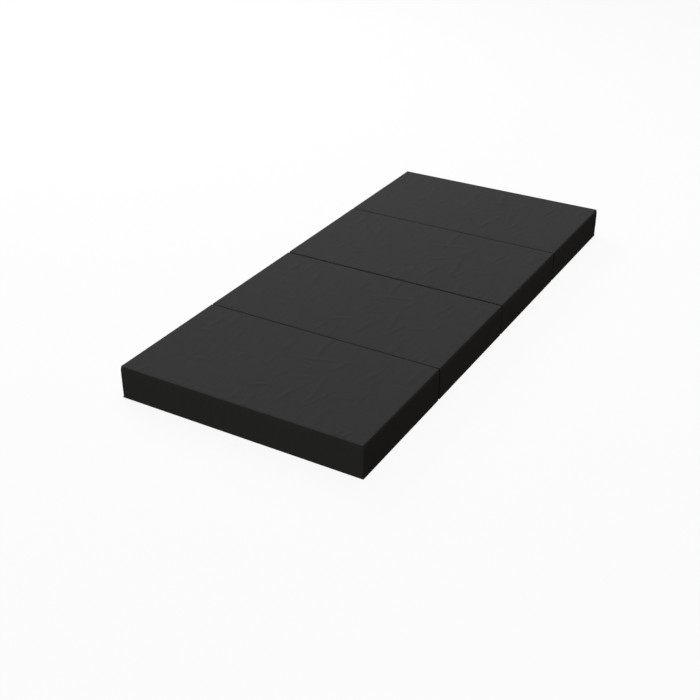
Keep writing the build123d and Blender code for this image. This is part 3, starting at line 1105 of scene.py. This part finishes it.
def zip_coils(name, section, zips, material):
    """The two wound coils of a zip, each half a turn behind the other so that they mesh."""
    low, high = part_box(f"zip_coils_{section}")
    radius = zips.coil_wire / 2
    turns = int((high.y - low.y - 2 * radius) / zips.coil_pitch)
    angle = np.linspace(0.0, 2 * math.pi * turns, turns * COIL_STEPS + 1)
    along = low.y + radius + (high.y - low.y - 2 * radius) * angle / angle[-1]
    half_depth = (high.x - low.x) / 2 - radius
    half_width = (high.z - ZIP_HEIGHT) / 2 - radius
    lines = []
    for side in (-1, 1):
        phase = angle if side > 0 else angle + math.pi
        across = ZIP_HEIGHT + side * (half_width + radius) + half_width * np.cos(phase)
        depth = (low.x + high.x) / 2 + half_depth * np.sin(phase)
        lines.append(np.stack((depth, along, across), axis=-1))
    points, faces = joined_tubes(lines, np.full(len(angle), radius), COIL_SIDES)
    return new_piece(name, points, faces, material)


def zip_stitches(name, section, zips, cover, material):
    """A row of stitches along each side of the zip's slot."""
    step = zips.stitch_length + zips.stitch_gap
    count = int(2 * ZIP_END / step) - 1
    x = -HALF_WIDTH - cover.belly + zips.thread * (STITCH_SINK - STITCH_LIFT * STITCH_RISE)
    lines = []
    for level in (SLOT_TOP + zips.stitch_inset, SLOT_BASE - zips.stitch_inset):
        for number in range(count):
            y = middle_of(section) + (number - (count - 1) / 2) * step + zips.stitch_length * STITCH_ALONG
            lines.append(np.stack((x, y, np.full_like(y, level)), axis=-1))
    points, faces = joined_tubes(lines, zips.thread / 2 * STITCH_BREADTH, STITCH_SIDES)
    return new_piece(name, points, faces, material)


class FUTON_OT_stage(bpy.types.Operator):
    """Set up the floor, the lights and the camera"""

    bl_idname = "futon.stage"
    bl_label = "Stage"

    def execute(self, context):
        stage = context.scene.futon_stage
        context.scene.view_settings.view_transform = "Standard"
        white_floor(stage)
        room_light(context.scene, stage)
        aim = Vector(stage.camera_aim)
        white = (1.0, 1.0, 1.0)
        softbox("key_light", stage.key_place, aim, stage.key_size, stage.key_power, white)
        softbox("top_light", stage.top_place, aim, stage.top_size, stage.top_power, white)
        softbox("fill_light", stage.fill_place, aim, stage.fill_size, stage.fill_power, stage.fill_colour)
        camera = bpy.data.objects.new("camera", bpy.data.cameras.new("camera"))
        camera.data.lens = stage.lens
        camera.location = stage.camera_place
        camera.rotation_mode = "QUATERNION"
        sight = (aim - camera.location).to_track_quat("-Z", "Y")
        camera.rotation_quaternion = sight @ Quaternion((0.0, 0.0, 1.0), stage.camera_roll)
        context.scene.collection.objects.link(camera)
        context.scene.camera = camera
        return {"FINISHED"}


def seen_directly(finish):
    """1 for rays from the camera, mirrors and glass, and 0 for light on its way to a rough surface."""
    camera = finish.node("ShaderNodeLightPath", {}, output="Is Camera Ray")
    mirror = finish.node("ShaderNodeLightPath", {}, output="Is Glossy Ray")
    glass = finish.node("ShaderNodeLightPath", {}, output="Is Transmission Ray")
    return camera.at_least(mirror).at_least(glass)


def white_floor(stage):
    """A floor that looks white, keeps a faint shadow and throws an even light back."""
    half = stage.floor_size / 2
    corners = [(-half, -half, 0.0), (half, -half, 0.0), (half, half, 0.0), (-half, half, 0.0)]
    material, finish = new_finish("floor")
    white = (1.0, 1.0, 1.0, 1.0)
    glow = finish.node("ShaderNodeEmission", {}, {"Color": (*stage.floor_glow, 1.0), "Strength": 1.0})
    shaded = finish.node("ShaderNodeBsdfDiffuse", {}, {"Color": white})
    bright = finish.node("ShaderNodeEmission", {}, {"Color": white, "Strength": 1.0})
    seen = finish.node("ShaderNodeMixShader", {}, {0: stage.white_share, 1: shaded, 2: bright})
    finish.output(finish.node("ShaderNodeMixShader", {}, {0: seen_directly(finish), 1: glow, 2: seen}))
    floor = new_piece("floor", corners, [(0, 1, 2, 3)], material)


def room_light(scene, stage):
    """An even, weak light from all round, which looks white where the camera sees past the floor."""
    world = bpy.data.worlds.new("room")
    world.use_nodes = True
    finish = Finish(world.node_tree)
    colour = finish.mixed(seen_directly(finish), stage.ambient, (1.0, 1.0, 1.0))
    light = finish.node("ShaderNodeBackground", {}, {"Color": colour, "Strength": 1.0})
    finish.node("ShaderNodeOutputWorld", {}, {"Surface": light})
    scene.world = world


def softbox(name, place, aim, size, power, colour):
    """A square area light turned towards a point."""
    light = bpy.data.objects.new(name, bpy.data.lights.new(name, "AREA"))
    light.data.energy = power
    light.data.color = colour
    light.data.size = size
    light.location = place
    light.rotation_mode = "QUATERNION"
    light.rotation_quaternion = (Vector(aim) - Vector(place)).to_track_quat("-Z", "Y")
    bpy.context.scene.collection.objects.link(light)


OPERATORS = (
    FUTON_OT_filling,
    FUTON_OT_top_covers,
    FUTON_OT_base_covers,
    FUTON_OT_borders,
    FUTON_OT_hinges,
    FUTON_OT_zips,
    FUTON_OT_stage,
)

SETTINGS = {
    "futon_cover": CoverSettings,
    "futon_zip": ZipSettings,
    "futon_filling": FillingSettings,
    "futon_stage": StageSettings,
}


class FUTON_PT_sidebar(bpy.types.Panel):
    """The mattress's settings and the steps that make it"""

    bl_idname = "FUTON_PT_sidebar"
    bl_label = "Futon mattress"
    bl_space_type = "VIEW_3D"
    bl_region_type = "UI"
    bl_category = "Futon"

    def draw(self, context):
        layout = self.layout
        for name, settings in SETTINGS.items():
            box = layout.box()
            box.label(text=settings.__doc__)
            for setting in settings.__annotations__:
                box.prop(getattr(context.scene, name), setting)
        for operator in OPERATORS:
            layout.operator(operator.bl_idname)


def register():
    for name, settings in SETTINGS.items():
        bpy.utils.register_class(settings)
        setattr(bpy.types.Scene, name, bpy.props.PointerProperty(type=settings))
    for kind in (*OPERATORS, FUTON_PT_sidebar):
        bpy.utils.register_class(kind)


def unregister():
    for kind in (FUTON_PT_sidebar, *reversed(OPERATORS)):
        bpy.utils.unregister_class(kind)
    for name, settings in reversed(SETTINGS.items()):
        delattr(bpy.types.Scene, name)
        bpy.utils.unregister_class(settings)


def main():
    register()
    bpy.ops.futon.filling()
    bpy.ops.futon.top_covers()
    bpy.ops.futon.base_covers()
    bpy.ops.futon.borders()
    bpy.ops.futon.hinges()
    bpy.ops.futon.zips()
    bpy.ops.futon.stage()


if __name__ == "__main__":
    main()
